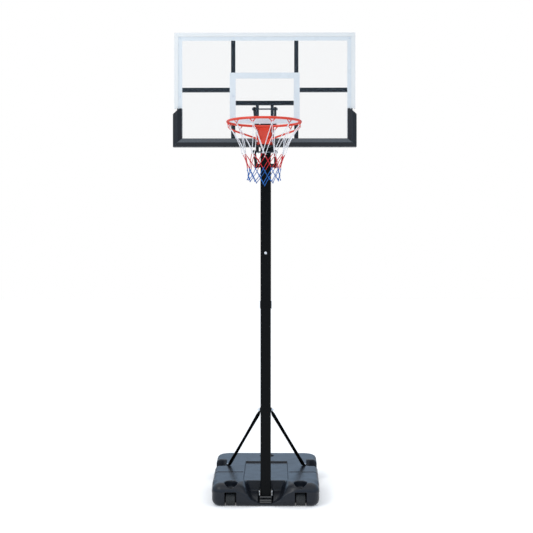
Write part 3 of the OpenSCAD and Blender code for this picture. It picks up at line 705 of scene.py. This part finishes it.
def ball(centre, size, points, faces, uv):
    """Append a knot: a slightly squashed, lumpy ball."""
    start = len(points)
    rings, sides = 7, 10
    for i in range(rings):
        lift = math.pi * (i + 0.5) / rings
        for j in range(sides):
            turn = 2 * math.pi * j / sides
            lump = size * (1 + 0.12 * math.sin(3 * turn + 2 * lift))
            points.append(centre + Vector((lump * math.sin(lift) * math.cos(turn),
                                           lump * math.sin(lift) * math.sin(turn),
                                           1.15 * lump * math.cos(lift))))
            uv.append((i * 0.8, j / sides * 2))
    faces += [f[::-1] for f in grid_faces(rings, sides, start)]
    faces += [f[::-1] for f in cap_faces(rings, sides, start)]


def build_net():
    """Twelve loops on the hooks, knotted into diamonds, in white, red and blue."""
    count = 12
    turn = -17                  # degrees from the front to the first hook
    # half a step round or not, radius, height
    rows = [(0, 0.2330, 2.656), (1, 0.1390, 2.482), (0, 0.1180, 2.427), (1, 0.1040, 2.376),
            (0, 0.1020, 2.331), (1, 0.1050, 2.286)]
    side_rise = {4: 0.011, 5: 0.028}    # the lowest rows hang higher at the sides
    hook_loop = 0.006

    def knot(row, k):
        half, radius, height = rows[row]
        angle = math.radians(turn + (360 / count) * (k + 0.5 * half))
        loose = 0.003 if row else 0.0
        drift = knots_drift[(row, k % count)]
        reach = radius + drift[0] * loose
        rise = height + drift[2] * loose + side_rise.get(row, 0.0) * abs(math.sin(angle))
        spot = Vector((reach * math.sin(angle + drift[1] * loose * 4), -reach * math.cos(angle),
                       rise))
        return spot + Vector((0, rim_centre.y, 0))

    knots_drift = {(row, k): [chance.uniform(-1, 1) for _ in range(3)]
                   for row in range(len(rows)) for k in range(count)}
    bands = {"white": ([], [], []), "red": ([], [], []), "blue": ([], [], [])}

    def band(height):
        return "white" if height > white_low else "red" if height > red_low else "blue"

    for row in range(len(rows) - 1):
        for k in range(count):
            for other in ((k - 1, k) if rows[row][0] == 0 else (k, k + 1)):
                a = knot(row, k)
                b = knot(row + 1, other)
                sag = Vector(((a.x + b.x) / 2, (a.y + b.y) / 2 - rim_centre.y, 0)).normalized()
                pull = 0.012 if row == 0 else 0.0015
                middle = [a.lerp(b, t) - sag * pull * math.sin(math.pi * t)
                          for t in (0.25, 0.5, 0.75)]
                path = smooth_path([a] + middle + [b], 4)
                cut = white_low if a.z > white_low > b.z else red_low
                halves = [path]
                if a.z > cut > b.z:
                    at = next(i for i, p in enumerate(path) if p.z < cut)
                    halves = [path[:at + 1], path[at:]] if 0 < at < len(path) - 1 else [path]
                for half in halves:
                    points, faces, uv = bands[band(half[len(half) // 2].z)]
                    if len(half) > 1:
                        tube(half, cord, 8, points, faces, uv)
    for row in range(1, len(rows)):
        for k in range(count):
            centre = knot(row, k)
            ball(centre, cord * 1.75, *bands[band(centre.z)])
    for k in range(count):
        hook = knot(0, k)
        out = Vector((hook.x, hook.y - rim_centre.y, 0)).normalized()
        loop = [hook + out * hook_loop * math.cos(t) + Vector((0, 0, hook_loop * math.sin(t)))
                for t in [math.pi * 2 * i / 12 for i in range(13)]]
        tube(loop, cord * 0.9, 8, *bands["white"])
    for name, colour in (("white", finishes["net_cord"]), ("red", cord_red), ("blue", cord_blue)):
        points, faces, uv = bands[name]
        piece = add_piece("net_" + name, points, faces, colour, "board", "net_cord")
        layer = piece.data.uv_layers.new(name="length")
        loops = np.zeros(len(piece.data.loops), dtype=int)
        piece.data.loops.foreach_get("vertex_index", loops)
        layer.data.foreach_set("uv", np.array(uv)[loops].ravel())
    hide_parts("net")


build_net()


# ---------- stage ----------

def build_camera():
    """Eye height of 1.87 m, well in front, level, with the frame shifted to hold the hoop."""
    data = bpy.data.cameras.new("camera")
    data.sensor_width = 36
    data.lens = 69.64
    data.shift_y = -0.0328
    camera = bpy.data.objects.new("camera", data)
    bpy.context.scene.collection.objects.link(camera)
    camera.location = (0.075, -7.6, 1.873)
    camera.rotation_euler = (math.radians(90), 0, math.atan(0.00907))
    bpy.context.scene.camera = camera


def add_area(name, place, aim, width, height, energy):
    """A soft white rectangle of light, turned to face its aim."""
    data = bpy.data.lights.new(name, "AREA")
    data.shape = "RECTANGLE"
    data.size = width
    data.size_y = height
    data.energy = energy
    light = bpy.data.objects.new(name, data)
    bpy.context.scene.collection.objects.link(light)
    light.location = place
    light.rotation_euler = (Vector(aim) - Vector(place)).to_track_quat("-Z", "Y").to_euler()


def build_world():
    """White behind everything; the light itself is brighter above than at the sides."""
    world = bpy.data.worlds.new("studio")
    bpy.context.scene.world = world
    world.use_nodes = True
    tree = world.node_tree
    background = tree.nodes["Background"]
    seen = tree.nodes.new("ShaderNodeBackground")
    seen.inputs["Color"].default_value = (1, 1, 1, 1)
    place = tree.nodes.new("ShaderNodeTexCoord")
    split = tree.nodes.new("ShaderNodeSeparateXYZ")
    tree.links.new(place.outputs["Generated"], split.inputs[0])
    sky = tree.nodes.new("ShaderNodeValToRGB")
    levels = ((0.0, (0.10, 0.10, 0.11)), (0.10, (0.14, 0.16, 0.19)), (0.24, (0.62, 0.92, 1.30)),
              (0.45, (0.62, 0.68, 0.76)), (0.75, (1.0, 1.0, 1.0)))
    while len(sky.color_ramp.elements) < len(levels):
        sky.color_ramp.elements.new(0.5)
    for stop, (position, colour) in zip(sky.color_ramp.elements, levels):
        stop.position = position
        stop.color = colour + (1,)
    tree.links.new(split.outputs["Z"], sky.inputs[0])
    tree.links.new(sky.outputs["Color"], background.inputs["Color"])
    background.inputs["Strength"].default_value = 1.3
    chosen = tree.nodes.new("ShaderNodeMixShader")
    ray = tree.nodes.new("ShaderNodeLightPath")
    tree.links.new(ray.outputs["Is Camera Ray"], chosen.inputs[0])
    tree.links.new(background.outputs[0], chosen.inputs[1])
    tree.links.new(seen.outputs[0], chosen.inputs[2])
    tree.links.new(chosen.outputs[0], tree.nodes["World Output"].inputs["Surface"])


def build_floor():
    """A wide pale floor that glows a little, so that it stays near white."""
    mesh = bpy.data.meshes.new("floor")
    reach = 30.0
    corners = [(-reach, -reach, 0), (reach, -reach, 0), (reach, reach, 0), (-reach, reach, 0)]
    mesh.from_pydata(corners, [], [(0, 1, 2, 3)])
    floor = bpy.data.objects.new("floor", mesh)
    bpy.context.scene.collection.objects.link(floor)
    material = bpy.data.materials.new("white floor")
    material.use_nodes = True
    shader = material.node_tree.nodes["Principled BSDF"]
    shader.inputs["Base Color"].default_value = (0.85, 0.85, 0.85, 1)
    shader.inputs["Roughness"].default_value = 1.0
    shader.inputs["Specular IOR Level"].default_value = 0.0
    shader.inputs["Emission Color"].default_value = (1, 1, 1, 1)
    shader.inputs["Emission Strength"].default_value = 0.12
    mesh.materials.append(material)


build_camera()
build_world()
build_floor()
add_area("key", (-3.2, -3.8, 5.2), (0, 0, 1.2), 1.6, 1.6, 95)
add_area("fill", (4.0, -4.5, 2.6), (0, 0, 1.2), 2.0, 3.0, 12)
bpy.context.scene.view_settings.view_transform = "Standard"
